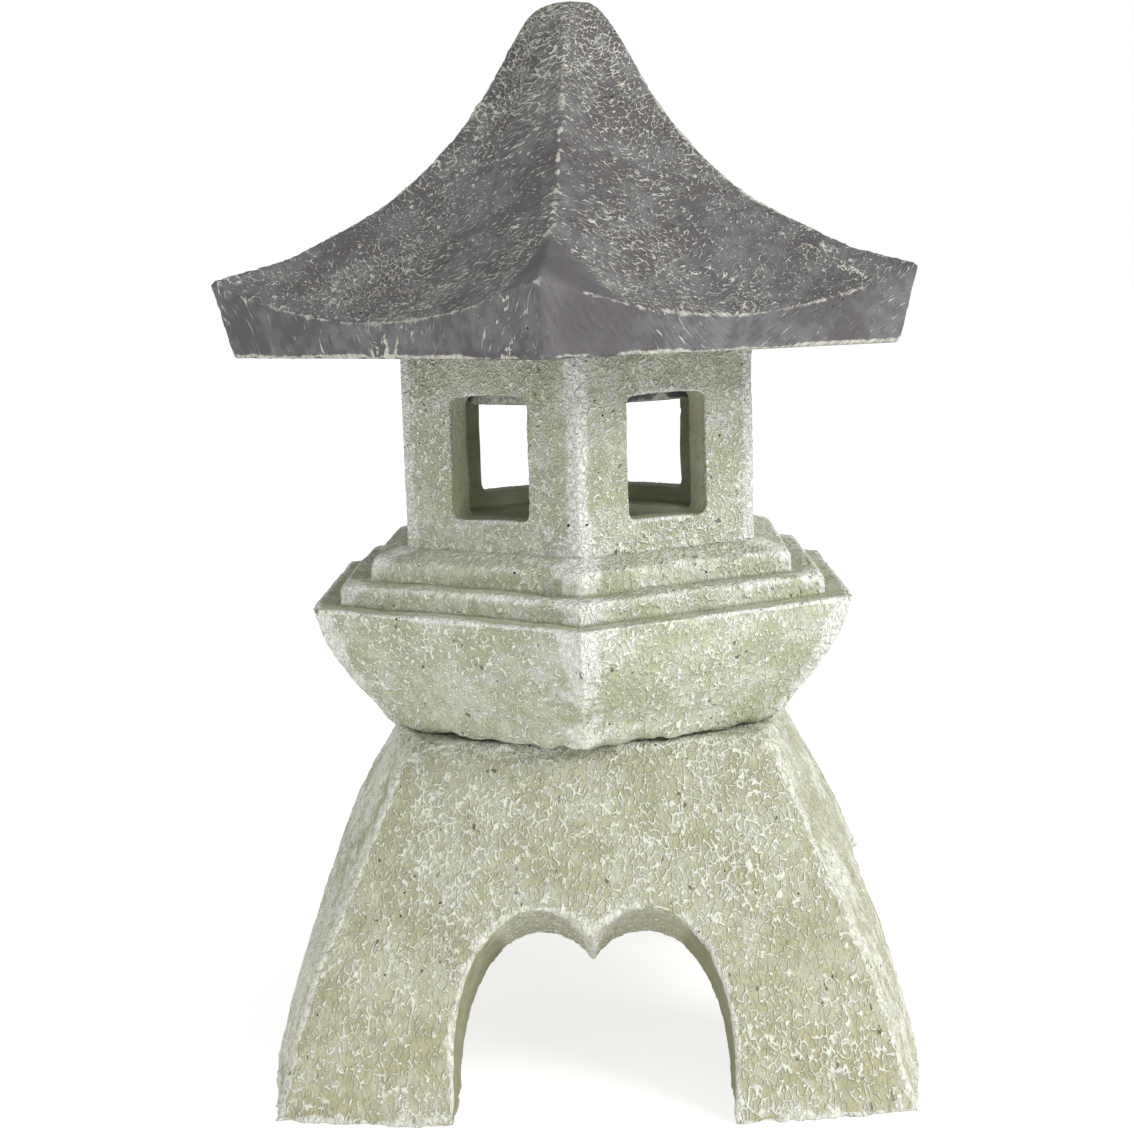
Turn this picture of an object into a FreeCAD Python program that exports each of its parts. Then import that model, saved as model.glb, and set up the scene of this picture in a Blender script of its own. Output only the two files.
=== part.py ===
"""Garden stone lantern, 432 mm tall, in cast stone: base, mortar bed, platform, light chamber, roof
and a tea light. Millimetres, +Z up. The origin is on the ground, on the axis that the platform,
light chamber and roof share. One STEP file is written per piece, to parts/."""

import FreeCAD, Part
import math
import os

from FreeCAD import Vector

# ---- driving dimensions ----------------------------------------------------------------------

# Levels on the axis, from the ground up
base_top = 137.0
platform_foot = 141.0
rim_level = 191.3
platform_top = 212.4
roof_seat = 292.6
roof_apex = 432.0

# Base: a hollow, flaring block on four legs. Each level is a square with bowed sides.
# level: (half-width at the corners, half-width at the middle of a side)
base_sections = {
    0.0: (124.3, 135.8),
    25.0: (117.0, 130.2),
    50.0: (109.4, 122.8),
    80.0: (96.3, 110.8),
    110.0: (83.5, 96.0),
    base_top: (69.3, 79.3),
}
hollow_sections = {
    -5.0: (88.0, 97.0),
    30.0: (80.0, 89.0),
    60.0: (68.0, 78.0),
    85.0: (50.0, 58.0),
    104.0: (18.0, 21.0),
}
base_shift = Vector(2.2, 2.2, 0)  # the base stands slightly off the axis of the stones above
base_turn = -0.6  # degrees

# Double-lobed arch through each side of the base, cut square to the sloping side.
# Heights are measured in the arch's own tilted plane.
arch_tilt = 33.0  # degrees below the horizontal, going in
arch_half_width = 54.0
arch_spring = -49.0  # top of the straight jambs
arch_crown = 5.8  # top of each lobe
arch_cusp = -5.8  # tip of the point between the lobes
lobe_centre = 22.0  # crown of a lobe, from the middle of the arch
arch_foot = -175.0
arch_start, arch_end = -200.0, -52.0  # along the cut, from outside the base to inside its hollow

# Platform: six-sided bowl, two rounded steps, a tenon below and a recess above
# level: (radius at a corner, radius at the middle of a side)
bowl_sections = {
    platform_foot: (89.5, 82.5),
    148.0: (98.4, 88.0),
    158.0: (107.3, 94.4),
    168.0: (114.8, 100.2),
    178.0: (120.5, 104.7),
    rim_level: (125.5, 108.8),
}
lower_step_radius, lower_step_top, lower_step_round = 112.9, 199.8, 3.0
upper_step_radius, upper_step_top, upper_step_round = 98.6, 209.4, 4.0
weathering_radius = 84.5  # where the slope on the upper step ends, just outside the light chamber
tenon_radius, tenon_depth = 33.0, 10.0
tenon_gap = 0.5
recess_radius, recess_depth = 25.6, 8.0

# Mortar bed between base and platform
mortar_low_radius, mortar_high_radius = 77.0, 81.5

# Light chamber: six-sided wall on a floor, with a window in each side
chamber_radius = 82.3
wall = 13.5
floor_level = 218.4
window_width, window_sill, window_head = 36.5, 225.0, 273.6
window_corner = 3.5
window_rise = 1.2  # the head is a shallow arch
boss_radius, boss_depth = 25.0, 7.5
seat_radius, seat_depth = 19.5, 4.0

# Roof: six concave faces meeting at hips, over a leaning fascia, with a round plug below
# (radius, level) down one hip, from the apex to the tip of the eave
hip_profile = [
    (9.0, roof_apex),
    (18.8, 425.0),
    (24.8, 417.2),
    (35.7, 399.8),
    (48.0, 383.5),
    (63.8, 367.2),
    (84.8, 350.8),
    (115.4, 335.0),
    (157.0, 322.0),
]
eave_foot_radius = 149.6  # at a corner, on the underside
eave_sag = 16.0  # how far the eave dips between two corners
sag_power = 2.2  # the dip dies away quickly towards the apex
plug_radius, plug_depth = 56.0, 22.5
roof_turn = -3.8  # degrees: the roof sits a little crooked on the light chamber

# Tea light
cup_radius, cup_height, cup_wall = 18.9, 16.0, 0.4
wax_depth = 12.5
tab_radius, tab_thickness, collar_radius, collar_height = 6.0, 0.4, 1.2, 2.5
wick_radius, wick_above_wax = 0.7, 5.0

half_side = math.radians(30)  # half the angle that one side of a hexagon takes up
spare = 1.0  # how far a cutter runs past the face that it opens

# ---- helpers ---------------------------------------------------------------------------------


def arc_ring(level, count, corner_radius, side_radius, first_corner):
    """A closed ring of bowed sides: count corners, the first at an angle in degrees."""
    def at(radius, degrees):
        angle = math.radians(degrees)
        return Vector(radius * math.cos(angle), radius * math.sin(angle), level)

    step = 360.0 / count
    sides = []
    for i in range(count):
        start = first_corner + i * step
        side = Part.Arc(
            at(corner_radius, start), at(side_radius, start + step / 2), at(corner_radius, start + step)
        )
        sides.append(side.toShape())
    return Part.Wire(sides)


def bowed_square(sections):
    """A smooth solid through square rings given as level: (corner half-width, side half-width)."""
    rings = [
        arc_ring(level, 4, corner * math.sqrt(2), side, -135)
        for level, (corner, side) in sections.items()
    ]
    return Part.makeLoft(rings, True)


def hexagon_outline(radius, level):
    """A closed six-sided outline with a corner towards -Y."""
    turns = [2 * half_side * i for i in range(7)]
    return Part.makePolygon([Vector(radius * math.sin(a), -radius * math.cos(a), level) for a in turns])


def hexagon(radius, low, high):
    return Part.Face(hexagon_outline(radius, low)).extrude(Vector(0, 0, high - low))


def disc(radius, low, high):
    return Part.makeCylinder(radius, high - low, Vector(0, 0, low))


def edges_at(solid, level):
    """The edges of a solid that lie wholly at one level."""
    return [
        e for e in solid.Edges
        if abs(e.BoundBox.ZMin - level) < 1e-4 and abs(e.BoundBox.ZMax - level) < 1e-4
    ]


def turned(shape, degrees):
    copy = shape.copy()
    copy.rotate(Vector(0, 0, 0), Vector(0, 0, 1), degrees)
    return copy


# ---- the stones ------------------------------------------------------------------------------


def arch_cutter():
    """The double-lobed arch through the -Y side, drawn in its tilted plane and run inwards."""
    tilt = math.radians(arch_tilt)
    inwards = Vector(0, math.cos(tilt), -math.sin(tilt))
    upwards = Vector(0, math.sin(tilt), math.cos(tilt))

    def at(x, height):
        return Vector(x, 0, 0) + upwards * height + inwards * arch_start

    drop = arch_crown - arch_cusp
    lobe_radius = (lobe_centre**2 + drop**2) / (2 * drop)
    half_lobe = math.atan2(lobe_centre, lobe_radius - drop) / 2
    inner_x = lobe_centre - lobe_radius * math.sin(half_lobe)
    inner_height = arch_crown - lobe_radius * (1 - math.cos(half_lobe))
    outline = []
    for side in (1, -1):
        haunch = Part.Ellipse(
            at(side * lobe_centre, arch_crown),
            at(side * arch_half_width, arch_spring),
            at(side * lobe_centre, arch_spring),
        )
        quarter = Part.Arc(haunch, 0, math.pi / 2).toShape()
        inner = Part.Arc(
            at(side * lobe_centre, arch_crown), at(side * inner_x, inner_height), at(0, arch_cusp)
        ).toShape()
        jamb = Part.makeLine(at(side * arch_half_width, arch_spring), at(side * arch_half_width, arch_foot))
        outline += [quarter, inner, jamb]
    outline.append(Part.makeLine(at(arch_half_width, arch_foot), at(-arch_half_width, arch_foot)))
    face = Part.Face(Part.Wire(Part.__sortEdges__(outline)))
    return face.extrude(inwards * (arch_end - arch_start))


def make_base():
    block = bowed_square(base_sections).cut(bowed_square(hollow_sections))
    arch = arch_cutter()
    for quarter in range(4):
        block = block.cut(turned(arch, 90 * quarter))
    block = turned(block, base_turn)
    block.translate(base_shift)
    socket_floor = platform_foot - tenon_depth - spare
    socket = disc(tenon_radius + tenon_gap, socket_floor, base_top + spare)
    return block.cut(socket)


def make_mortar_bed():
    cone = Part.makeCone(
        mortar_low_radius, mortar_high_radius, platform_foot - base_top, Vector(0, 0, base_top)
    )
    cone.translate(base_shift / 2)
    return cone.cut(disc(tenon_radius, base_top - spare, platform_foot + spare))


def weathering():
    """The shallow six-sided slope that sheds water from the foot of the light chamber."""
    foot_radius = upper_step_radius - upper_step_round / math.cos(half_side)
    foot = hexagon_outline(foot_radius, upper_step_top)
    return Part.makeLoft([foot, hexagon_outline(weathering_radius, platform_top)], True, True)


def make_platform():
    rings = [arc_ring(z, 6, corner, side, -90) for z, (corner, side) in bowl_sections.items()]
    bowl = Part.makeLoft(rings, True)
    lower = hexagon(lower_step_radius, rim_level, lower_step_top)
    lower = lower.makeFillet(lower_step_round, edges_at(lower, lower_step_top))
    upper = hexagon(upper_step_radius, lower_step_top, upper_step_top)
    upper = upper.makeFillet(upper_step_round, edges_at(upper, upper_step_top))
    tenon = disc(tenon_radius, platform_foot - tenon_depth, platform_foot)
    recess = disc(recess_radius, platform_top - recess_depth, platform_top + spare)
    return bowl.fuse([lower, upper, weathering(), tenon]).cut(recess).removeSplitter()


def window_cutter():
    """One window opening through the wall facing +X, before it is turned into place."""
    half = window_width / 2
    depth = 3 * wall  # half of it inside the wall's inner face, a third of it outside
    outline = [
        Part.makeLine(Vector(0, -half, window_head), Vector(0, -half, window_sill)),
        Part.makeLine(Vector(0, -half, window_sill), Vector(0, half, window_sill)),
        Part.makeLine(Vector(0, half, window_sill), Vector(0, half, window_head)),
        Part.Arc(
            Vector(0, half, window_head),
            Vector(0, 0, window_head + window_rise),
            Vector(0, -half, window_head),
        ).toShape(),
    ]
    opening = Part.Face(Part.Wire(outline)).extrude(Vector(depth, 0, 0))
    long_edges = [e for e in opening.Edges if abs(e.BoundBox.XLength - depth) < 1e-4]
    opening = opening.makeFillet(window_corner, long_edges)
    flat_to_axis = chamber_radius * math.cos(half_side)
    opening.translate(Vector(flat_to_axis - 2 * wall, 0, 0))
    return opening


def make_light_chamber():
    inner_radius = chamber_radius - wall / math.cos(half_side)
    body = hexagon(chamber_radius, platform_top, roof_seat)
    body = body.cut(hexagon(inner_radius, floor_level, roof_seat + spare))
    for side in range(6):
        body = body.cut(turned(window_cutter(), 60 * side))
    body = body.fuse(disc(boss_radius, platform_top - boss_depth, platform_top))
    seat = disc(seat_radius, floor_level - seat_depth, floor_level + spare)
    return body.cut(seat).removeSplitter()


def roof_sector():
    """The concave face between two hips, and the fascia under its eave, over the -Y side."""
    crown_radius = hip_profile[0][0]
    tip_radius, tip_level = hip_profile[-1]
    lean = (tip_radius - eave_foot_radius) / (tip_level - roof_seat)
    points_per_half = 4
    rows = []
    for radius, level in hip_profile:
        share = (radius - crown_radius) / (tip_radius - crown_radius)
        row = []
        for i in range(-points_per_half, points_per_half + 1):
            across = i / points_per_half
            dip = eave_sag * share**sag_power * (1 - across**2)
            point_radius = radius - lean * dip * share
            row.append(
                Vector(
                    across * point_radius * math.sin(half_side),
                    -point_radius * math.cos(half_side),
                    level - dip,
                )
            )
        rows.append(row)
    surface = Part.BSplineSurface()
    surface.interpolate(rows)
    face = surface.toShape()
    eave = max(face.Edges, key=lambda e: -e.CenterOfMass.z)
    foot_x = eave_foot_radius * math.sin(half_side)
    foot_y = -eave_foot_radius * math.cos(half_side)
    foot = [Vector(-foot_x, foot_y, roof_seat), Vector(foot_x, foot_y, roof_seat)]
    tips = sorted((v.Point for v in eave.Vertexes), key=lambda p: p.x)
    outline = [
        eave,
        Part.makeLine(tips[0], foot[0]),
        Part.makeLine(foot[0], foot[1]),
        Part.makeLine(foot[1], tips[1]),
    ]
    fascia = Part.Face(Part.Wire(Part.__sortEdges__(outline)))
    return [face, fascia]


def make_roof():
    faces = [
        Part.Face(hexagon_outline(eave_foot_radius, roof_seat)),
        Part.Face(hexagon_outline(hip_profile[0][0], roof_apex)),
    ]
    for side in range(6):
        faces += [turned(f, 60 * side + 30) for f in roof_sector()]
    shell = Part.Shell(faces)
    shell.sewShape()
    body = Part.Solid(shell)
    if body.Volume < 0:
        body.reverse()
    plug = disc(plug_radius, roof_seat - plug_depth, roof_seat + spare)
    return turned(body.fuse(plug).removeSplitter(), roof_turn)


# ---- the tea light ---------------------------------------------------------------------------

tealight_foot = floor_level - seat_depth
wax_foot = tealight_foot + cup_wall
wax_top = wax_foot + wax_depth


def make_tealight_cup():
    outside = disc(cup_radius, tealight_foot, tealight_foot + cup_height)
    return outside.cut(disc(cup_radius - cup_wall, wax_foot, tealight_foot + cup_height + spare))


def make_wick_tab():
    plate = disc(tab_radius, wax_foot, wax_foot + tab_thickness)
    collar = disc(collar_radius, wax_foot, wax_foot + collar_height)
    hole = disc(wick_radius, wax_foot - spare, wax_foot + collar_height + spare)
    return plate.fuse(collar).cut(hole)


def make_wick():
    return disc(wick_radius, wax_foot, wax_top + wick_above_wax)


def make_tealight_wax():
    block = disc(cup_radius - cup_wall, wax_foot, wax_top)
    return block.cut(
        [
            disc(tab_radius, wax_foot - spare, wax_foot + tab_thickness),
            disc(collar_radius, wax_foot - spare, wax_foot + collar_height),
            disc(wick_radius, wax_foot - spare, wax_top + spare),
        ]
    )


# ---- output ----------------------------------------------------------------------------------

pieces = {
    "base": make_base,
    "mortar_bed": make_mortar_bed,
    "platform": make_platform,
    "light_chamber": make_light_chamber,
    "roof": make_roof,
    "tealight_cup": make_tealight_cup,
    "tealight_wax": make_tealight_wax,
    "wick_tab": make_wick_tab,
    "wick": make_wick,
}

os.makedirs("parts", exist_ok=True)
for name, make in pieces.items():
    shape = make()
    box = shape.BoundBox
    print(
        f"{name}: solids {len(shape.Solids)}, valid {shape.isValid()}, volume {shape.Volume:.0f}, "
        f"z {box.ZMin:.1f}..{box.ZMax:.1f}, x {box.XMin:.1f}..{box.XMax:.1f}"
    )
    shape.exportStep(f"parts/{name}.step")
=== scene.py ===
"""Looks of the cast-stone garden lantern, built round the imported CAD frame.

Each stone is its CAD solid meshed again in small squares, so that its edges can be rounded and worn
and its surface tooled. The tea light is modelled afresh. Points are in metres in Blender, and in
millimetres in the arrays and fields that shape and paint the stones."""

import math

import bmesh
import bpy
import numpy as np
from mathutils import Matrix, Vector


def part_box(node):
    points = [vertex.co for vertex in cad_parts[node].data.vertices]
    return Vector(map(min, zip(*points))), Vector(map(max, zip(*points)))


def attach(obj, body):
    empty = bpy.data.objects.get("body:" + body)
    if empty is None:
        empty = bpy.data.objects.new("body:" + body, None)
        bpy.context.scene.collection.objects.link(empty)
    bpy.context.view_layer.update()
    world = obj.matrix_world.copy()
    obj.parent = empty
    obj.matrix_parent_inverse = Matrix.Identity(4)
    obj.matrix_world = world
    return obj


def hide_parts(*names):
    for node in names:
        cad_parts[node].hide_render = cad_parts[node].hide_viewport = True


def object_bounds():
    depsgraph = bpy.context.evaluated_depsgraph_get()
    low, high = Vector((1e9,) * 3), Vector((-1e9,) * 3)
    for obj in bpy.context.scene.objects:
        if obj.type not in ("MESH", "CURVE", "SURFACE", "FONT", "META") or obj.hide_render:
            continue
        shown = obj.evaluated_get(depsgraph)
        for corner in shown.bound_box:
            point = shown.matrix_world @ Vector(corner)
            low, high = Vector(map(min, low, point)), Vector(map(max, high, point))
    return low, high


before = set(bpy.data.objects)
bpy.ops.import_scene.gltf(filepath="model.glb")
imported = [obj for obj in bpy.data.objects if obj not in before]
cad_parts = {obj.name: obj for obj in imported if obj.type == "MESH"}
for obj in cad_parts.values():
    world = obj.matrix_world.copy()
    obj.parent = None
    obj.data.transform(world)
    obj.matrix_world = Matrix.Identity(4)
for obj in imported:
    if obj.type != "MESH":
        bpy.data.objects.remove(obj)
cad_low, cad_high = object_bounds()

MM = 0.001
FINE = 1.0  # how much coarser the meshes are while trying things out


# ---- sizes, in millimetres ---------------------------------------------------------------------


def box_mm(node):
    """The lowest and the highest corner of a CAD node's box."""
    low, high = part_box(node)
    return np.array(low) / MM, np.array(high) / MM


base_low, base_high = box_mm("base")
platform_low, platform_high = box_mm("platform")
chamber_high = box_mm("light_chamber")[1]
cup_low, cup_high = box_mm("tealight_cup")
wax_low, wax_high = box_mm("tealight_wax")
tab_low, tab_high = box_mm("wick_tab")
wick_low, wick_high = box_mm("wick")

base_middle = (base_low + base_high) / 2
rim_radius = platform_high[1]
chamber_radius = chamber_high[1]
roof_seat = chamber_high[2]

# What the boxes don't tell: how far two stones stand turned, and where creases and steps lie.
roof_turn = math.radians(-3.8)
base_turn = math.radians(-0.6)
hip_end_radius = 107.0  # where each hip parts into the two creases of a beak
eave_level = 322.0  # of the roof's surface, at the foot of a hip
rim_level = 191.3
lower_step_radius, lower_step_top = 112.9, 199.8
upper_step_radius = 98.6


# ---- arrays ------------------------------------------------------------------------------------


def smooth_step(value, low, high):
    """0 below low, 1 above high, with a soft ramp between; low may be the higher number."""
    t = np.clip((value - low) / (high - low), 0, 1)
    return t * t * (3 - 2 * t)


def lattice(cell, seed):
    """A repeatable random number from 0 to 1 for each whole-number cell, by mixing its bits."""
    h = cell[:, 0] * 73856093 ^ cell[:, 1] * 19349663 ^ cell[:, 2] * 83492791 ^ seed * 2654435761
    h = (h ^ (h >> 13)) * 1274126177 & 0xFFFFFFFF
    h = (h ^ (h >> 16)) * 2246822519 & 0xFFFFFFFF
    return ((h ^ (h >> 15)) & 0xFFFFFF) / 0xFFFFFF


def rough(places, size, seed):
    """Smooth random bumps about size millimetres across, mostly from -1 to 1."""
    octaves, gain = 2, 1.6
    total = np.zeros(len(places))
    weight, reach = 1.0, 0.0
    for octave in range(octaves):
        at = places * (2**octave / size) + 17.3 * octave
        cell = np.floor(at).astype(np.int64)
        part = at - cell
        part = part * part * (3 - 2 * part)
        value = np.zeros(len(places))
        for corner in range(8):
            step = np.array([corner & 1, corner >> 1 & 1, corner >> 2 & 1])
            share = np.prod(np.where(step, part, 1 - part), axis=1)
            value += share * lattice(cell + step, seed + 101 * octave)
        total += weight * (2 * value - 1)
        reach += weight
        weight *= 0.5
    return total / reach * gain


class Skin:
    """A mesh as arrays in millimetres, with its edges for spreading values over its surface."""

    def __init__(self, mesh):
        self.mesh = mesh
        count = len(mesh.vertices)
        flat = np.zeros(count * 3, np.float32)
        mesh.vertices.foreach_get("co", flat)
        self.place = flat.reshape(-1, 3).astype(float) / MM
        ends = np.zeros(len(mesh.edges) * 2, np.int32)
        mesh.edges.foreach_get("vertices", ends)
        self.ends = ends.reshape(-1, 2)
        self.valence = np.bincount(self.ends.ravel(), minlength=count).astype(float)

    def mean(self, values):
        """Each vertex's neighbours' mean."""
        a, b = self.ends.T
        count = len(self.valence)
        if values.ndim == 1:
            total = np.bincount(a, values[b], count) + np.bincount(b, values[a], count)
            return total / self.valence
        return np.stack([self.mean(values[:, i]) for i in range(values.shape[1])], 1)

    def spread(self, values, rounds):
        """The values, each moved halfway to its neighbours' mean, as many times as rounds."""
        for _ in range(rounds):
            values = values + 0.5 * (self.mean(values) - values)
        return values

    def normals(self):
        """Each vertex's normal where the places now have it."""
        self.store()
        flat = np.zeros(len(self.mesh.vertices) * 3, np.float32)
        self.mesh.vertices.foreach_get("normal", flat)
        return flat.reshape(-1, 3).astype(float)

    def store(self):
        """Moves the mesh's vertices to the places."""
        self.mesh.vertices.foreach_set("co", (self.place * MM).astype(np.float32).ravel())
        self.mesh.update()

    def bend(self, rounds):
        """How far the surface stands out from its smoothed self: above 0 on edges, below in grooves."""
        return np.einsum("ij,ij->i", self.place - self.spread(self.place, rounds), self.normals())

    def fields(self, **named):
        """Stores numbers or vectors on the vertices, for the node graphs."""
        for name, values in named.items():
            kind = "FLOAT" if values.ndim == 1 else "FLOAT_VECTOR"
            attribute = self.mesh.attributes.new(name, kind, "POINT")
            key = "value" if kind == "FLOAT" else "vector"
            attribute.data.foreach_set(key, values.astype(np.float32).ravel())


def polar(place, turn=0.0):
    """Radius, and angle from the front (-Y), anticlockwise seen from above, after undoing a turn."""
    angle = np.arctan2(place[:, 0], -place[:, 1]) - turn
    return np.hypot(place[:, 0], place[:, 1]), angle


def hexagonal(place, turn=0.0):
    """(corner radius of the hexagon through each point, angle off the nearest corner, corner number).

    The hexagon has a corner towards -Y before the turn."""
    radius, angle = polar(place, turn)
    corner = np.round(angle / (math.pi / 3))
    off = angle - corner * math.pi / 3
    flat = radius * np.cos(math.pi / 6 - np.abs(off))
    return flat / math.cos(math.pi / 6), off, corner.astype(int) % 6


# ---- node graphs -------------------------------------------------------------------------------


class Graph:
    """Adds nodes to a shader tree or a geometry tree: both know the same maths and textures."""

    def __init__(self, tree):
        self.tree = tree
        self.shader = tree.bl_idname == "ShaderNodeTree"

    def node(self, kind, settings=None, inputs=None):
        made = self.tree.nodes.new(kind)
        for key, value in (settings or {}).items():
            setattr(made, key, value)
        for key, value in (inputs or {}).items():
            self.feed(made.inputs[key], value)
        return made

    def feed(self, socket, value):
        if isinstance(value, bpy.types.NodeSocket):
            self.tree.links.new(value, socket)
        else:
            socket.default_value = value

    def field(self, name, vector=False):
        """A number or a vector that the mesh holds at each vertex."""
        if self.shader:
            made = self.node("ShaderNodeAttribute", {"attribute_name": name})
            return made.outputs["Vector" if vector else "Fac"]
        kind = "FLOAT_VECTOR" if vector else "FLOAT"
        made = self.node("GeometryNodeInputNamedAttribute", {"data_type": kind}, {"Name": name})
        return made.outputs["Attribute"]

    def maths(self, operation, *values, clamp=False):
        made = self.node("ShaderNodeMath", {"operation": operation, "use_clamp": clamp})
        for i, value in enumerate(values):
            self.feed(made.inputs[i], value)
        return made.outputs[0]

    def add(self, *values):
        total = values[0]
        for value in values[1:]:
            total = self.maths("ADD", total, value)
        return total

    def times(self, *values):
        total = values[0]
        for value in values[1:]:
            total = self.maths("MULTIPLY", total, value)
        return total

    def vector(self, operation, *values):
        made = self.node("ShaderNodeVectorMath", {"operation": operation})
        for i, value in enumerate(values):
            self.feed(made.inputs["Scale" if operation == "SCALE" and i == 1 else i], value)
        return made.outputs[0]

    def noise(self, at, size, detail=2.0, roughness=0.5, colour=False):
        inputs = {"Vector": at, "Scale": 1 / size, "Detail": detail, "Roughness": roughness}
        made = self.node("ShaderNodeTexNoise", None, inputs)
        return made.outputs["Color" if colour else 0]

    def cells(self, at, size, feature="DISTANCE_TO_EDGE", randomness=1.0):
        inputs = {"Vector": at, "Scale": 1 / size, "Randomness": randomness}
        return self.node("ShaderNodeTexVoronoi", {"feature": feature}, inputs)

    def ramp(self, value, low, high, start=0.0, end=1.0):
        """A soft ramp: start below low, end above high."""
        if low > high:
            low, high, start, end = high, low, end, start
        settings = {"interpolation_type": "SMOOTHSTEP"}
        inputs = {"Value": value, "From Min": low, "From Max": high, "To Min": start, "To Max": end}
        return self.node("ShaderNodeMapRange", settings, inputs).outputs[0]

    def tint(self, share, a, b):
        """Colour a where share is 0 and colour b where it is 1."""
        made = self.node("ShaderNodeMix", {"data_type": "RGBA"})
        for i, value in ((0, share), (6, a), (7, b)):
            self.feed(made.inputs[i], value)
        return made.outputs[2]

    def warped(self, at, size, amount):
        """at, pushed about by up to amount millimetres in smooth swirls of a given size."""
        swirl = self.noise(at, size, 2.0, 0.5, colour=True)
        centred = self.vector("SUBTRACT", swirl, (0.5, 0.5, 0.5))
        return self.vector("ADD", at, self.vector("SCALE", centred, 2 * amount))


# ---- the tooled surface of the stones ----------------------------------------------------------


def crackle(g, cell, width):
    """The raised, broken veins between shallow dents, from 0 to 1. cell and width in millimetres.

    The same graph lifts the mesh and paints and roughens the surface, so that they agree. The
    mesh's grain field says where to look the pattern up, dense adds veins and calm takes them off."""
    grain = g.field("grain", vector=True)
    at = g.warped(g.warped(grain, cell * 1.9, cell * 0.4), cell * 0.5, cell * 0.22)
    gap = g.add(g.noise(at, cell * 0.7, 2.0), g.field("dense"))
    patch = g.add(g.noise(g.field("place", vector=True), cell * 2.4, 2.0), g.field("dense"))
    big = g.cells(at, cell).outputs["Distance"]
    small = g.cells(at, cell * 0.6).outputs["Distance"]
    big_line = g.times(g.ramp(big, width / cell, 0.0), g.ramp(gap, 0.38, 0.58, 0.15, 1.0))
    small_line = g.times(g.ramp(small, width / cell * 1.2, 0.0), g.ramp(patch, 0.48, 0.66))
    lines = g.maths("MAXIMUM", big_line, g.times(small_line, 0.7))
    return g.times(lines, g.maths("SUBTRACT", 1.0, g.field("calm")))


def relief(cell, width, height):
    """A geometry graph that lifts a stone's vertices along the veins, by height in millimetres."""
    level_vein = 0.35  # a vein this strong stays put, and the ground between veins sinks
    tree = bpy.data.node_groups.new("vein_relief", "GeometryNodeTree")
    tree.interface.new_socket("Geometry", in_out="INPUT", socket_type="NodeSocketGeometry")
    tree.interface.new_socket("Geometry", in_out="OUTPUT", socket_type="NodeSocketGeometry")
    g = Graph(tree)
    source = g.node("NodeGroupInput")
    target = g.node("NodeGroupOutput")
    veins = crackle(g, cell, width)
    open_ground = g.maths("SUBTRACT", 1.0, g.field("calm"))
    lift = g.times(g.maths("SUBTRACT", veins, level_vein), height * MM, open_ground)
    offset = g.vector("SCALE", g.node("GeometryNodeInputNormal").outputs[0], lift)
    move = g.node("GeometryNodeSetPosition", None, {"Geometry": source.outputs[0], "Offset": offset})
    tree.links.new(move.outputs[0], target.inputs[0])
    return tree


def baked(piece):
    """Turns a piece's modifiers into its own mesh."""
    graph = bpy.context.evaluated_depsgraph_get()
    mesh = bpy.data.meshes.new_from_object(piece.evaluated_get(graph))
    piece.modifiers.clear()
    piece.data = mesh


def remeshed(name, node, pitch, rounding, turn=0.0):
    """A new piece: the CAD node meshed in squares of about pitch millimetres, its edges rounded.

    turn is how far the node stands turned from the grid of squares, in radians."""
    octree_depth = 8
    piece = bpy.data.objects.new(name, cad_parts[node].data.copy())
    bpy.context.scene.collection.objects.link(piece)
    piece.data.transform(Matrix.Rotation(-turn, 4, "Z"))
    squares = piece.modifiers.new("squares", "REMESH")
    squares.mode = "SHARP"
    squares.octree_depth = octree_depth
    squares.scale = max(piece.dimensions) / MM / (pitch * FINE * 2**octree_depth)
    baked(piece)
    piece.data.transform(Matrix.Rotation(turn, 4, "Z"))
    piece.data.materials.clear()
    skin = Skin(piece.data)
    skin.place = skin.spread(skin.place, rounding)
    skin.store()
    return piece, skin


def finished(piece, skin, cell, width, height, body, node, material):
    """Adds the veins to a stone, keeps it inside its CAD node's box and hands it over."""
    skin.store()
    modifier = piece.modifiers.new("veins", "NODES")
    modifier.node_group = relief(cell, width, height)
    baked(piece)
    low, high = box_mm(node)
    skin = Skin(piece.data)
    skin.place = np.clip(skin.place, low, high)
    skin.store()
    hand_over(piece, body, node, material)


def hand_over(piece, body, node, material):
    """Shades a piece smooth, paints it and puts it on its body in place of its CAD node."""
    piece.data.polygons.foreach_set("use_smooth", [True] * len(piece.data.polygons))
    piece.data.materials.append(material)
    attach(piece, body)
    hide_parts(node)


# ---- materials ---------------------------------------------------------------------------------


def paint(red, green, blue):
    """An RGBA colour from the usual 0 to 255 values."""
    def linear(value):
        value /= 255
        return value / 12.92 if value <= 0.04045 else ((value + 0.055) / 1.055) ** 2.4
    return (linear(red), linear(green), linear(blue), 1.0)


def new_material(name):
    material = bpy.data.materials.new(name)
    material.use_nodes = True
    material.node_tree.nodes.clear()
    return material, Graph(material.node_tree)


def surface(g, colour, roughness, height, depth, **plain):
    """The shader at the end of every material. height is a 0 to 1 relief and depth its millimetres."""
    bump = g.node("ShaderNodeBump", None, {"Height": height, "Distance": depth * MM, "Strength": 1.0})
    inputs = {"Base Color": colour, "Roughness": roughness, "Normal": bump.outputs[0], **plain}
    shader = g.node("ShaderNodeBsdfPrincipled", None, inputs)
    output = g.node("ShaderNodeOutputMaterial")
    g.tree.links.new(shader.outputs[0], output.inputs[0])


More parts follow.
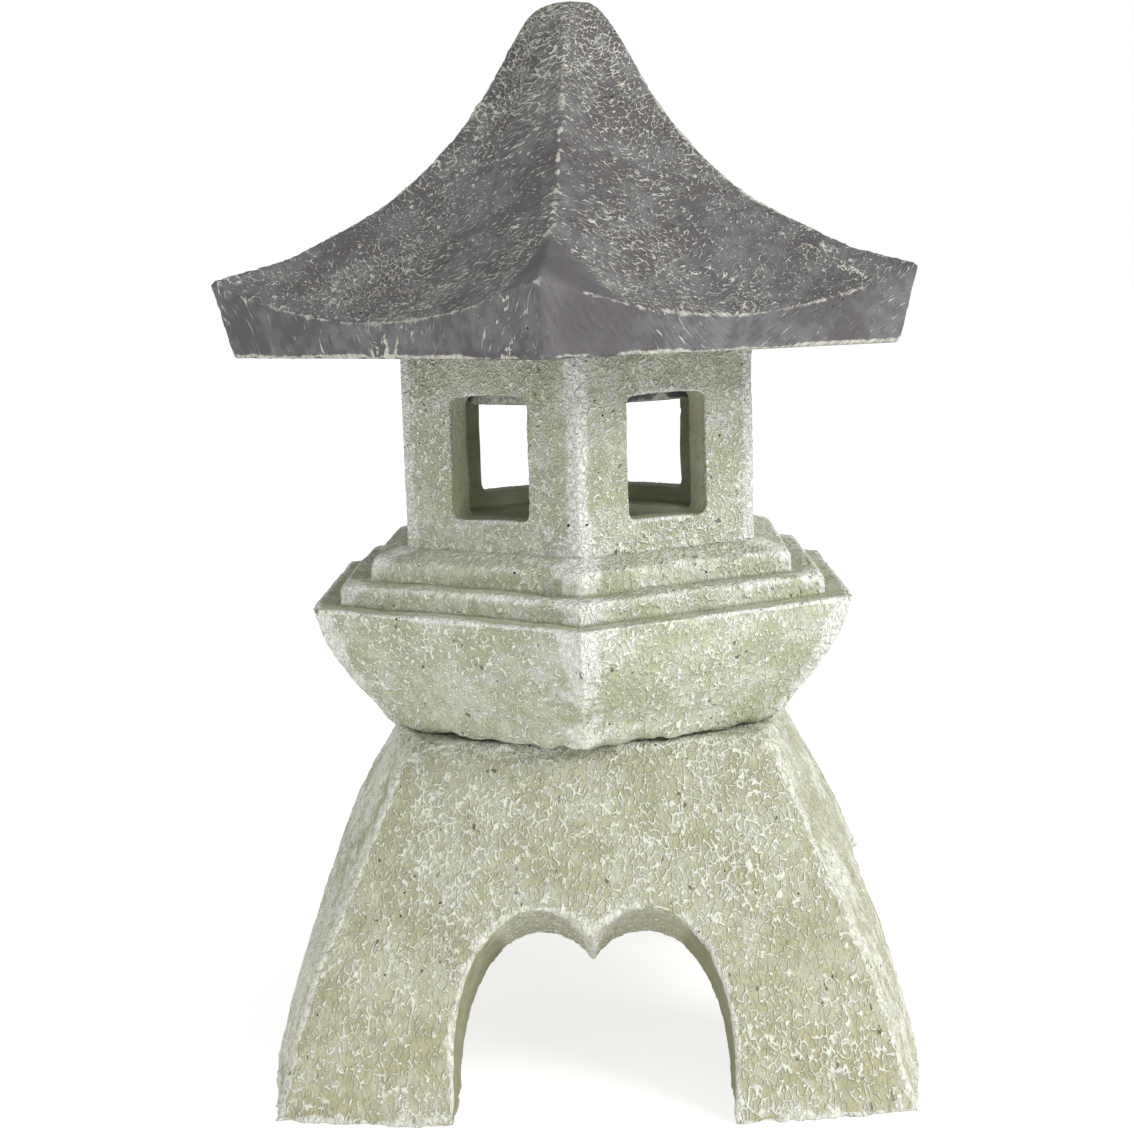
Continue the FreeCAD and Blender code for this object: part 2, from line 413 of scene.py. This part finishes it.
def stone_material(name, cell, width, tones, cover, depth=1.5):
    """Stained cast stone: dull ground in two tones, pale veins and dry-brushed edges, painted shade in
    crevices.

    tones are ground, second ground, vein, wash, a dark tone for stains and painted shade, and tinge. The
    higher cover, the more paint the veins took; depth is the relief of the fine surface in millimetres.
    The mesh's fields worn, dirt (painted shade and grime), calm, dense, warm and pits say where each
    layer goes."""
    ground, ground_two, vein, wash, shade_and_stain, tinge = tones
    shadow, hole_shade = paint(58, 55, 42), paint(38, 36, 30)
    material, g = new_material(name)
    place = g.field("place", vector=True)
    grain = g.field("grain", vector=True)
    veins = crackle(g, cell, width)
    cloud = g.noise(place, 22.0, 3.0)
    mottle = g.noise(place, 5.5, 3.0, 0.6)
    speck = g.noise(grain, 1.2, 2.0, 0.7)
    open_ground = g.maths("SUBTRACT", 1.0, g.field("calm"))

    # The ground: two tones in clouds, warm patches, stains and a thin pale wash.
    colour = g.tint(g.ramp(cloud, 0.38, 0.62), ground, ground_two)
    colour = g.tint(g.times(g.field("warm"), g.ramp(mottle, 0.3, 0.75)), colour, tinge)
    colour = g.tint(g.times(g.ramp(mottle, 0.52, 0.72), 0.25), colour, shade_and_stain)
    haze = g.times(g.ramp(g.add(mottle, g.times(cloud, 0.6)), 0.72, 1.02), 0.62, open_ground)
    colour = g.tint(haze, colour, wash)

    # The pale paint: on the veins, in flecks between them and dry-brushed over the edges.
    taken = g.add(veins, g.times(speck, 0.6), g.times(cloud, 0.3), cover)
    painted = g.times(g.ramp(taken, 0.85, 1.45), g.ramp(veins, 0.05, 0.5))
    fleck = g.times(g.ramp(speck, 0.66, 0.72), 0.5, open_ground)
    uneven = g.maths("SUBTRACT", mottle, 0.5)
    brushed_at = g.add(g.field("worn"), g.times(uneven, 1.1), g.times(veins, 0.3))
    brushed = g.times(g.ramp(brushed_at, 0.42, 0.8), g.ramp(speck, 0.36, 0.56, 0.45, 1.0))
    white = g.maths("MAXIMUM", g.maths("MAXIMUM", painted, fleck), brushed, clamp=True)
    colour = g.tint(g.times(white, 0.92), colour, vein)

    # The darks: painted shade in crevices, hollows, arches, undersides and interiors, mixed with random
    # grime; painted shade in small deep slashes in patches and in air holes.
    shade_and_grime = g.ramp(g.add(g.field("dirt"), g.times(uneven, 0.7)), 0.3, 0.95)
    colour = g.tint(g.times(shade_and_grime, 0.7), colour, shade_and_stain)
    slash_patch = g.ramp(g.noise(place, 13.0, 2.0), 0.52, 0.64)
    slash = g.times(g.ramp(g.noise(grain, 2.2, 1.0), 0.68, 0.75), slash_patch, open_ground)
    colour = g.tint(g.times(slash, 0.7), colour, shadow)
    hole = pinholes(g, place)
    colour = g.tint(hole, colour, hole_shade)

    # The relief that is too fine for the mesh.
    fine = g.noise(grain, 0.8, 3.0, 0.6)
    dent = g.noise(grain, 2.6, 2.0, 0.55)
    height = g.add(g.times(veins, 0.6), g.times(fine, 0.35), g.times(dent, 0.8))
    height = g.maths("SUBTRACT", height, g.times(g.maths("MAXIMUM", hole, slash), 0.8))
    rough_at = g.add(0.86, g.times(g.maths("SUBTRACT", fine, 0.5), 0.12), g.times(white, 0.06))
    surface(g, colour, rough_at, height, depth, **{"Specular IOR Level": 0.25})
    return material


def pinholes(g, place):
    """1 in round air holes and 0 elsewhere; the higher the mesh's pits field, the more there are."""
    spacing = 3.6
    made = g.cells(place, spacing, "F1", 0.9)
    pick = g.node("ShaderNodeSeparateXYZ", None, {0: made.outputs["Color"]})
    chosen = g.ramp(g.add(pick.outputs[0], g.field("pits")), 0.97, 0.99)
    size = g.add(0.10, g.times(pick.outputs[1], 0.08))
    dot = g.maths("LESS_THAN", made.outputs["Distance"], size)
    return g.times(dot, chosen)


# ---- camera, floor and light -------------------------------------------------------------------


def add_camera():
    """In front of the lantern and level with its eave, looking down a little, on a short telephoto."""
    camera = bpy.data.objects.new("camera", bpy.data.cameras.new("camera"))
    bpy.context.scene.collection.objects.link(camera)
    camera.data.lens = 60.79
    camera.data.sensor_width = 36.0
    eye = (0.0106, -0.8202, 0.3242)
    yaw, pitch, roll = 0.0212, 0.1549, -0.0278
    turn = Matrix.Rotation(yaw, 4, "Z") @ Matrix.Rotation(math.pi / 2 - pitch, 4, "X")
    turn = turn @ Matrix.Rotation(roll, 4, "Z")
    camera.matrix_world = Matrix.Translation(eye) @ turn
    bpy.context.scene.camera = camera


def add_floor():
    """A wide pale disc under the lantern, with a faint glow that keeps it white to the horizon."""
    radius, sides = 12, 96
    mesh = bpy.data.meshes.new("floor")
    angles = np.linspace(0, 2 * math.pi, sides + 1)[:-1]
    rim = [(radius * math.cos(a), radius * math.sin(a), 0) for a in angles]
    mesh.from_pydata(rim, [], [list(range(sides))])
    floor = bpy.data.objects.new("floor", mesh)
    bpy.context.scene.collection.objects.link(floor)
    material, g = new_material("floor")
    at = g.node("ShaderNodeTexCoord").outputs["Object"]
    tone = g.tint(g.noise(at, 0.4), (0.50, 0.50, 0.495, 1), (0.54, 0.54, 0.535, 1))
    glow = {"Emission Color": (1, 1, 1, 1), "Emission Strength": 0.7}
    surface(g, tone, 0.9, g.noise(at, 0.01), 0.05, **{"Specular IOR Level": 0.1}, **glow)
    mesh.materials.append(material)


def add_lamp(name, place, size, watts):
    """A soft square lamp that faces the middle of the lantern."""
    lamp = bpy.data.objects.new(name, bpy.data.lights.new(name, "AREA"))
    bpy.context.scene.collection.objects.link(lamp)
    lamp.data.size = size
    lamp.data.energy = watts
    lamp.location = place
    middle = (cad_low + cad_high) / 2
    lamp.rotation_euler = (middle - lamp.location).to_track_quat("-Z", "Y").to_euler()


def add_light():
    """A white room, brighter at the horizon than overhead, with a lamp on either side."""
    add_lamp("key", (1.7, -1.0, 1.3), 1.1, 43)
    add_lamp("fill", (-1.8, -1.6, 0.9), 2.0, 9)
    world = bpy.data.worlds.new("studio")
    world.use_nodes = True
    g = Graph(world.node_tree)
    upward = g.node("ShaderNodeSeparateXYZ", None, {0: g.node("ShaderNodeTexCoord").outputs["Generated"]})
    background = world.node_tree.nodes["Background"]
    background.inputs["Color"].default_value = (1, 1, 1, 1)
    g.feed(background.inputs["Strength"], g.ramp(upward.outputs[2], 0.2, 0.8, 1.0, 0.5))
    bpy.context.scene.world = world
    bpy.context.scene.view_settings.view_transform = "Standard"


# ---- the stones --------------------------------------------------------------------------------

# Each palette is ground, second ground, vein, wash, a dark tone for stains and painted shade, and tinge.
GREEN = (
    paint(156, 158, 130), paint(168, 169, 143), paint(216, 217, 206),
    paint(184, 188, 173), paint(98, 99, 70), paint(182, 169, 132),
)
PALE = (
    paint(167, 170, 141), paint(179, 182, 156), paint(229, 231, 224),
    paint(205, 208, 196), paint(104, 106, 74), paint(190, 180, 146),
)
GREY = (
    paint(88, 85, 86), paint(98, 95, 98), paint(194, 193, 180),
    paint(118, 119, 118), paint(46, 44, 42), paint(132, 143, 146),
)


def add_base():
    """Tooled outside and brushed pale down its sides, but plain in the arches and the hollow."""
    piece, skin = remeshed("base_stone", "base", pitch=1.7, rounding=2, turn=base_turn)
    place = skin.place
    normal = skin.normals()
    out = place - base_middle
    radial = out[:, :2] / np.maximum(np.hypot(out[:, 0], out[:, 1]), 1)[:, None]
    facing = normal[:, 0] * radial[:, 0] + normal[:, 1] * radial[:, 1]
    level = place[:, 2]
    outside = smooth_step(facing, 0.08, 0.3)
    on_top = smooth_step(normal[:, 2], 0.5, 0.8) * smooth_step(level, base_high[2] - 12, base_high[2] - 4)
    outside = np.maximum(outside, on_top)
    calm = 1 - outside
    near_seam = smooth_step(level, base_high[2] - 9, base_high[2])
    near_foot = smooth_step(level, 14, 2)

    # Uneven all over and more ragged at the seam and the feet, then chipped along the edges.
    lumps = rough(place, 34, 1) * 0.9 + rough(place, 11, 2) * 0.35
    ragged = rough(place, 4.5, 3) * (0.25 + 0.9 * near_seam + 0.7 * near_foot)
    skin.place = place + normal * (lumps * (0.35 + 0.65 * outside) + ragged)[:, None]

    edge = skin.bend(14)
    sharp = smooth_step(edge, 0.15, 0.75)
    chips = smooth_step(rough(place, 7, 4), 0.35, 0.9) * sharp
    skin.place = skin.place - skin.normals() * (1.1 * chips)[:, None]
    skin.place[:, 2] = np.maximum(skin.place[:, 2], 0)

    # Paint took on the edges and down the sides; painted shade darkens the hollows, the arches and the
    # band below the seam.
    worn = sharp * 1.25 + smooth_step(rough(place, 26, 5), 0.1, 0.9) * 0.3 * outside
    side = smooth_step(np.abs(normal[:, 0]), 0.55, 0.8) * outside
    brushed = np.where(place[:, 0] < 0, 0.6, 0.45)
    worn += side * (brushed + 0.3 * rough(place * np.array([1, 1, 0.4]), 9, 7))
    dirt = smooth_step(-edge, 0.3, 1.2) * 0.8 + near_seam * 0.25 + calm * 0.78
    skin.fields(
        place=place,
        grain=place * np.array([1.0, 1.0, 0.52]),
        calm=calm * 0.9,
        dense=rough(place, 30, 6) * 0.06 + near_seam * 0.12,
        worn=np.clip(worn, 0, 1),
        dirt=np.clip(dirt, 0, 1),
        warm=0.2 + smooth_step(level, 110, 5) * 0.6,
        pits=0.02 * outside + 0.06 * sharp,
    )
    cell, width = 2.6, 0.55
    material = stone_material("base_stone", cell, width, GREEN, cover=0.1, depth=1.3)
    finished(piece, skin, cell, width * 1.3, 0.42, "lantern_body", "base", material)


def add_bed():
    """Ragged, pitted mortar between the bowl and the base."""
    piece, skin = remeshed("mortar_bed_rough", "mortar_bed", pitch=1.0, rounding=1)
    place = skin.place
    ragged = rough(place, 6, 11) * 0.9 + rough(place, 2.2, 12) * 0.4
    skin.place = place + skin.normals() * ragged[:, None]
    edge = skin.bend(10)
    none = np.zeros(len(place))
    skin.fields(
        place=place,
        grain=place,
        calm=none,
        dense=none + 0.1,
        worn=smooth_step(rough(place, 14, 13), 0.0, 0.7) * 0.8,
        # Painted shade in the hollows, over an even darker tone of the mortar.
        dirt=np.clip(0.35 + smooth_step(-edge, 0.1, 0.6), 0, 1),
        warm=none,
        pits=none + 0.05,
    )
    cell, width = 3.6, 1.0
    material = stone_material("mortar_bed", cell, width, GREEN, cover=0.0)
    finished(piece, skin, cell, width, 0.3, "lantern_body", "mortar_bed", material)


def add_platform():
    """Bowl and steps, pale along the corners and the rim, with smooth, dull grooves."""
    piece, skin = remeshed("platform_stone", "platform", pitch=1.22, rounding=2)
    place = skin.place
    normal = skin.normals()
    corner_radius, off, _ = hexagonal(place)
    level = place[:, 2]
    bowl = smooth_step(level, rim_level - 0.5, rim_level - 3)
    steps = 1 - bowl
    under = smooth_step(level, platform_low[2] + 12, platform_low[2] + 9)
    lumps = rough(place, 40, 21) * 0.55 + rough(place, 12, 22) * 0.3
    skin.place = place + normal * (lumps * (1 - under))[:, None]
    radius = np.hypot(place[:, 0], place[:, 1])
    # The neck's edge hangs lower and ragged, so that it closes on the base.
    neck = smooth_step(level, base_high[2] + 13, base_high[2] + 5) * smooth_step(radius, 78, 84)
    skin.place[:, 2] -= neck * (3.2 + 1.2 * rough(place, 7, 27))

    edge = skin.bend(16)
    sharp = smooth_step(edge, 0.25, 1.0)
    hollow = smooth_step(-edge, 0.2, 0.8)
    chips = smooth_step(rough(place, 6, 23), 0.5, 1.0) * sharp
    skin.place = skin.place - skin.normals() * (0.8 * chips)[:, None]

    at_corner = smooth_step(np.abs(off) * corner_radius, 13, 3)
    fades = smooth_step(level, rim_level - 44, rim_level - 4)
    worn = sharp + at_corner * (bowl * (0.5 + 0.4 * fades) + steps * 0.5)
    rim = smooth_step(np.abs(level - rim_level), 2.4, 0.8)
    rim = rim * smooth_step(corner_radius, rim_radius - 4, rim_radius - 1)
    worn += steps * 0.2 + rim * 0.5 + smooth_step(rough(place, 24, 26), 0.1, 0.9) * 0.25
    # The grooves: between the rim and the lower step, and where the upper step rises.
    groove = steps * (
        smooth_step(corner_radius, lower_step_radius - 0.5, lower_step_radius + 1.5)
        * smooth_step(corner_radius, rim_radius - 2.2, rim_radius - 4.5)
        + smooth_step(level, lower_step_top - 1, lower_step_top + 0.5)
        * smooth_step(np.abs(corner_radius - upper_step_radius - 3), 4, 1)
    )
    skin.fields(
        place=place,
        grain=place * np.array([1, 1, 0.7]),
        calm=np.clip(groove * 0.45 + under, 0, 1),
        dense=rough(place, 30, 25) * 0.06,
        worn=np.clip(worn * (1 - 0.9 * groove), 0, 1),
        # Painted shade in the hollows, the grooves, underneath and along the neck's lowered edge.
        dirt=np.clip(hollow * 0.55 + groove * 0.3 + under * 0.5 + neck * 0.35, 0, 1),
        warm=smooth_step(rough(place, 45, 24), 0.2, 1.0) * 0.35,
        pits=0.015 + 0.6 * rim,
    )
    cell, width = 2.5, 0.65
    material = stone_material("platform_stone", cell, width, PALE, cover=-0.04, depth=1.4)
    finished(piece, skin, cell, width * 1.3, 0.3, "lantern_body", "platform", material)


def add_chamber():
    """Tooled outside, with pale corners and window edges, but plain inside."""
    piece, skin = remeshed("light_chamber_stone", "light_chamber", pitch=1.07, rounding=2)
    place = skin.place
    normal = skin.normals()
    corner_radius, off, _ = hexagonal(place)
    level = place[:, 2]
    outside = smooth_step(corner_radius, chamber_radius - 3.2, chamber_radius - 1.4)
    lumps = rough(place, 38, 31) * 0.5 + rough(place, 12, 32) * 0.25
    skin.place = place + normal * lumps[:, None]
    # The foot's edge is lowered, so that it closes on the step below it.
    lowered = 1.1 * smooth_step(level, platform_high[2] + 2.5, platform_high[2] + 0.8) * outside
    skin.place[:, 2] -= lowered

    edge = skin.bend(14)
    sharp = smooth_step(edge, 0.25, 0.95)
    chips = smooth_step(rough(place, 6, 33), 0.5, 1.0) * sharp
    skin.place = skin.place - skin.normals() * (0.7 * chips)[:, None]

    at_corner = smooth_step(np.abs(off) * corner_radius, 7, 2) * outside
    low_down = smooth_step(level, platform_high[2] + 26, platform_high[2] + 2)
    washed = smooth_step(rough(place, 20, 36), 0.1, 0.9)
    near_face = smooth_step(corner_radius, chamber_radius - 6, chamber_radius - 3)
    worn = sharp * near_face * 1.1 + (at_corner * 0.8 + low_down * 0.3 + washed * 0.25) * outside
    inside = 1 - smooth_step(corner_radius, chamber_radius - 18, chamber_radius - 13)
    skin.fields(
        place=place,
        grain=place,
        calm=1 - outside,
        dense=rough(place, 30, 35) * 0.05 + low_down * 0.05,
        worn=np.clip(worn, 0, 1),
        # Painted shade inside the chamber.
        dirt=np.clip((1 - outside) * 0.05 + inside * 0.2, 0, 1),
        warm=smooth_step(rough(place, 45, 34), 0.2, 1.0) * 0.3,
        pits=0.02 * outside + 0.1 * sharp * outside,
    )
    cell, width = 2.2, 0.55
    material = stone_material("light_chamber_stone", cell, width, PALE, cover=0.1)
    finished(
        piece, skin, cell, width * 1.3, 0.26, "lantern_body", "light_chamber", material
    )


def add_roof():
    """Dark, with pale veins and edges; the beaks are almost bare, above all the front one."""
    piece, skin = remeshed("roof_stone", "roof", pitch=1.52, rounding=2, turn=roof_turn)
    place = skin.place
    normal = skin.normals()
    radius, angle = polar(place, roof_turn)
    _, off, corner = hexagonal(place, roof_turn)
    level = place[:, 2]
    under = smooth_step(normal[:, 2], -0.75, -0.9)
    lumps = rough(place, 30, 41) * 0.6 + rough(place, 9, 42) * 0.3
    skin.place = place + normal * (lumps * (1 - under))[:, None]

    edge = skin.bend(16)
    sharp = smooth_step(edge, 0.3, 1.1)
    chips = smooth_step(rough(place, 6, 43), 0.4, 1.0) * sharp
    skin.place = skin.place - skin.normals() * (0.8 * chips)[:, None]

    fascia = smooth_step(normal[:, 2], 0.12, 0.0) * (1 - under)
    top = (1 - fascia) * (1 - under)
    high_up = smooth_step(radius, 80, 15)
    across = radius * np.sin(off)  # from the nearest hip, to the right of it above 0
    past_hip = radius * np.cos(off) - hip_end_radius
    left_crease = across + past_hip * 0.4
    # Each beak is the smooth triangle between two creases, which run on from the hip's end.
    beak = top * smooth_step(left_crease, 0, 3) * smooth_step(past_hip * 1.1 - across, 0, 12)
    beak *= smooth_step(past_hip, 0, 4) * np.where(corner == 0, 1.0, 0.35)
    smooth_side = fascia * smooth_step(across, -0.5, 1.5) * smooth_step(across, 42, 26) * (corner == 0)
    crease = top * smooth_step(np.abs(left_crease), 1.8, 0.4) * smooth_step(past_hip, -2, 4)
    hip = top * smooth_step(np.abs(across), 1.7, 0.5) * smooth_step(past_hip, 1, -3)
    hip = hip * smooth_step(radius, 30, 45)
    broken = smooth_step(rough(place, 4, 45), -0.2, 0.5)
    skin.place = skin.place + skin.normals() * (0.3 * (crease + hip) * broken)[:, None]

    near_tip = smooth_step(np.abs(across), 26, 8) * smooth_step(past_hip, 5, 25)
    worn = sharp * (0.7 + 0.2 * fascia) * (1 - 0.6 * smooth_side) * (1 - 0.45 * near_tip)
    foot = fascia * smooth_step(level, roof_seat + 2.8, roof_seat + 1.0)
    foot = foot * smooth_step(rough(place, 12, 50), -0.4, 0.1)
    worn += (crease * 0.9 + hip * 0.9) * broken + foot * 0.7
    right_side = smooth_step(np.cos(angle - math.pi / 6), 0.8, 0.95)
    below_eave = np.minimum(0, level - eave_level + 16 * smooth_step(np.abs(off), 0, math.pi / 6))
    slope = np.abs(across)
    # The pattern runs down each slope in swirls, and leans on the fascia's right-hand side.
    swirl = np.stack([rough(place, 55, seed) * 12 for seed in (46, 47, 48)], 1)
    grain = swirl + np.stack([
        slope * 0.95 + below_eave * 0.7 * right_side,
        radius * np.cos(off) - level - 0.3 * slope + below_eave * 0.15,
        0 * slope,
    ], 1)
    dense = top * (0.13 * high_up - 0.03) - fascia * (0.1 + 0.07 * right_side)
    skin.fields(
        place=place,
        grain=grain,
        calm=np.clip(under + 0.75 * beak + 0.75 * smooth_side, 0, 1),
        dense=dense + rough(place, 34, 49) * 0.08,
        worn=np.clip(worn, 0, 1),
        # Painted shade underneath and in the hollows, and the fascia darker.
        dirt=np.clip(under * 0.5 + fascia * 0.3 + smooth_step(-edge, 0.3, 1.0) * 0.5, 0, 1),
        warm=fascia * smooth_step(np.abs(across), 30, 55) * 0.25,
        pits=0.01 * top + 0.03 * sharp,
    )
    cell, width = 3.1, 0.45
    material = stone_material("roof_stone", cell, width, GREY, cover=0.1, depth=0.9)
    finished(piece, skin, cell, width * 1.6, 0.34, "roof", "roof", material)


# ---- the tea light -----------------------------------------------------------------------------


def in_millimetres(g):
    """Where a point of the piece is, for the textures of a material."""
    return g.vector("SCALE", g.node("ShaderNodeTexCoord").outputs["Object"], 1 / MM)


def lathe(name, profile, steps, wave=0.0, folds=0, closed=True):
    """A turned piece from (radius, level) points in millimetres, with its seams welded.

    wave is the share by which the radius swings in and out, folds times round. A closed profile
    joins its last point to its first, and an open one starts and ends on the axis."""
    mesh = bpy.data.meshes.new(name)
    verts, faces = [], []
    for s in range(steps):
        angle = 2 * math.pi * s / steps
        for radius, level in profile:
            r = radius * (1 + wave * math.cos(folds * angle)) if radius > 1 else radius
            verts.append((r * math.cos(angle) * MM, r * math.sin(angle) * MM, level * MM))
    n = len(profile)
    for s in range(steps):
        for i in range(n if closed else n - 1):
            j = (i + 1) % n
            t = (s + 1) % steps
            faces.append((s * n + i, t * n + i, t * n + j, s * n + j))
    mesh.from_pydata(verts, [], faces)
    piece = bpy.data.objects.new(name, mesh)
    bpy.context.scene.collection.objects.link(piece)
    work = bmesh.new()
    work.from_mesh(mesh)
    bmesh.ops.remove_doubles(work, verts=work.verts, dist=1e-6)
    bmesh.ops.recalc_face_normals(work, faces=work.faces)
    work.to_mesh(mesh)
    work.free()
    return piece


def add_cup():
    """Thin pressed foil with fine folds and a rolled rim."""
    r, low, high = cup_high[0], cup_low[2], cup_high[2]
    inner = r - 0.4
    profile = [
        (0, low + 0.35), (6, low + 0.35), (12, low + 0.2), (r - 2.6, low), (r - 1.2, low + 0.3),
        (r - 0.5, low + 1.4), (r - 0.45, high - 1.4), (r - 0.1, high - 0.9), (r, high - 0.45),
        (r - 0.15, high - 0.05), (r - 0.5, high), (inner - 0.45, high - 0.4), (inner - 0.45, low + 1.6),
        (inner - 1.4, low + 0.6), (12, low + 0.5), (6, low + 0.6), (0, low + 0.6),
    ]
    piece = lathe("tealight_cup_foil", profile, 144, wave=0.006, folds=48, closed=False)
    material, g = new_material("tealight_foil")
    at = in_millimetres(g)
    drawn = g.vector("MULTIPLY", at, (1, 1, 0.15))
    scratch = g.noise(drawn, 0.5, 3.0, 0.6)
    dull = g.noise(at, 6.0, 3.0)
    colour = g.tint(g.ramp(dull, 0.35, 0.7), paint(214, 214, 212), paint(186, 185, 181))
    rough_at = g.add(0.24, g.times(dull, 0.2), g.times(scratch, 0.12))
    surface(g, colour, rough_at, scratch, 0.06, Metallic=1.0)
    hand_over(piece, "tealight", "tealight_cup", material)


def add_wax():
    """A block of wax, dished round the wick."""
    r, low, high = wax_high[0] - 0.1, wax_low[2] + 0.15, wax_high[2]
    profile = [
        (0, low), (r - 1.5, low), (r - 0.5, low + 0.5), (r - 0.1, low + 2), (r - 0.05, high - 0.5),
        (r - 0.4, high - 0.1), (r - 1.6, high - 0.35), (r * 0.6, high - 0.8), (5, high - 1.0),
        (2.2, high - 0.75), (0.9, high - 0.5), (0, high - 0.5),
    ]
    piece = lathe("tealight_wax_fill", profile, 96, closed=False)
    material, g = new_material("tealight_wax")
    at = in_millimetres(g)
    cloud = g.noise(at, 5.0, 3.0)
    colour = g.tint(cloud, paint(236, 232, 216), paint(224, 218, 196))
    surface(
        g, colour, g.add(0.38, g.times(cloud, 0.2)), g.noise(at, 2.0, 3.0), 0.12,
        **{"Subsurface Weight": 0.35, "Subsurface Radius": (0.004, 0.003, 0.002)},
    )
    hand_over(piece, "tealight", "tealight_wax", material)


def add_tab():
    """A tin disc with a neck that grips the wick."""
    low, high, r = tab_low[2], tab_high[2], tab_high[0]
    profile = [
        (0.75, low), (r, low), (r, low + 0.25), (r - 0.4, low + 0.4), (2.0, low + 0.4), (1.2, low + 0.9),
        (1.15, high - 0.1), (1.0, high), (0.75, high),
    ]
    piece = lathe("wick_sustainer", profile, 64)
    material, g = new_material("sustainer_tin")
    at = in_millimetres(g)
    spot = g.noise(at, 1.5, 3.0)
    colour = g.tint(spot, paint(190, 190, 188), paint(160, 159, 156))
    surface(g, colour, g.add(0.3, g.times(spot, 0.25)), spot, 0.05, Metallic=1.0)
    hand_over(piece, "tealight", "wick_tab", material)


def add_wick():
    """A cotton wick: three strands twisted round each other, which narrow at the tip."""
    low, high, r = wick_low[2], wick_high[2], wick_high[0]
    strands, turns, rings, sides = 3, 4.5, 48, 10
    off_axis, thickness = 0.42, 0.56  # of a strand, as shares of the wick's radius
    tip_starts, tip_share, tip_loss = 0.93, 0.07, 0.35
    work = bmesh.new()
    for strand in range(strands):
        previous = None
        for k in range(rings + 1):
            share = k / rings
            twist = 2 * math.pi * (strand / strands + turns * share)
            centre = Vector((off_axis * r * math.cos(twist), off_axis * r * math.sin(twist), 0))
            level = low + (high - low) * share
            ring = []
            for s in range(sides):
                a = 2 * math.pi * s / sides
                fat = thickness * r * (1 - tip_loss * max(0, share - tip_starts) / tip_share)
                p = Vector((centre.x + fat * math.cos(a), centre.y + fat * math.sin(a), level))
                ring.append(work.verts.new(p * MM))
            if previous:
                for s in range(sides):
                    t = (s + 1) % sides
                    work.faces.new((previous[s], previous[t], ring[t], ring[s]))
            else:
                work.faces.new(ring[::-1])
            previous = ring
        work.faces.new(previous)
    mesh = bpy.data.meshes.new("wick_braid")
    work.to_mesh(mesh)
    work.free()
    piece = bpy.data.objects.new("wick_braid", mesh)
    bpy.context.scene.collection.objects.link(piece)
    material, g = new_material("wick_cotton")
    at = in_millimetres(g)
    thread = g.noise(g.vector("MULTIPLY", at, (6, 6, 1)), 1.0, 3.0)
    colour = g.tint(thread, paint(232, 228, 212), paint(206, 200, 178))
    surface(g, colour, g.add(0.85, g.times(thread, 0.1)), thread, 0.08, **{"Sheen Weight": 0.3})
    hand_over(piece, "tealight", "wick", material)


add_camera()
add_floor()
add_light()
add_base()
add_bed()
add_platform()
add_chamber()
add_roof()
add_cup()
add_wax()
add_tab()
add_wick()
